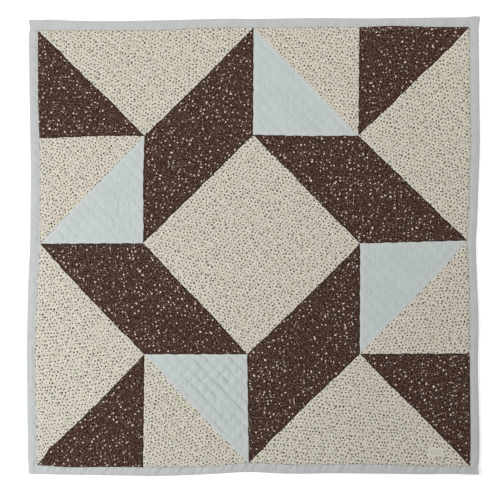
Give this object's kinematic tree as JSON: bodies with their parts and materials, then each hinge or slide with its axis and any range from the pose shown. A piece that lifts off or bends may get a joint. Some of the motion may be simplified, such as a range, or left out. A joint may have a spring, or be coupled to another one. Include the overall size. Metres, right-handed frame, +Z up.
{
  "type": "quilted patchwork cotton blanket",
  "caption": "Square quilted patchwork blanket lying flat, with a turning star of dark, cream and pale blue cotton patches, a plain back, a folded binding and a blank sewn label.",
  "frame": {"origin": "on the resting surface, under the middle of the blanket's box", "axes": "+Z up from the surface, +Y towards the top edge of the pieced face, +X to its right"},
  "size_m": [1.007, 1.02, 0.0085],
  "materials": {
    "dark_print": "matt dark brown cotton with scattered cream specks",
    "cream_print": "matt cream cotton with scattered small dark dots",
    "blue_cotton": "matt plain pale grey-blue cotton",
    "binding_cotton": "matt plain pale grey-blue cotton, folded",
    "back_cotton": "matt plain pale grey-blue cotton, quilted",
    "label_tape": "blank woven off-white tape"
  },
  "bodies": {
    "root": {"back_panel": "back_cotton", "dark_corner_upper_left": "dark_print", "dark_corner_upper_right": "dark_print", "dark_corner_lower_right": "dark_print", "dark_corner_lower_left": "dark_print", "dark_band_upper_left": "dark_print", "dark_band_upper_right": "dark_print", "dark_band_lower_right": "dark_print", "dark_band_lower_left": "dark_print", "cream_side_upper_left": "cream_print", "cream_side_upper_right": "cream_print", "cream_side_lower_right": "cream_print", "cream_side_lower_left": "cream_print", "cream_wedge_upper_left": "cream_print", "cream_wedge_upper_right": "cream_print", "cream_wedge_lower_right": "cream_print", "cream_wedge_lower_left": "cream_print", "blue_tip_upper_left": "blue_cotton", "blue_tip_upper_right": "blue_cotton", "blue_tip_lower_right": "blue_cotton", "blue_tip_lower_left": "blue_cotton", "cream_centre": "cream_print", "binding_top": "binding_cotton", "binding_right": "binding_cotton", "binding_bottom": "binding_cotton", "binding_left": "binding_cotton", "label_tab": "label_tape"}
  },
  "joints": []
}
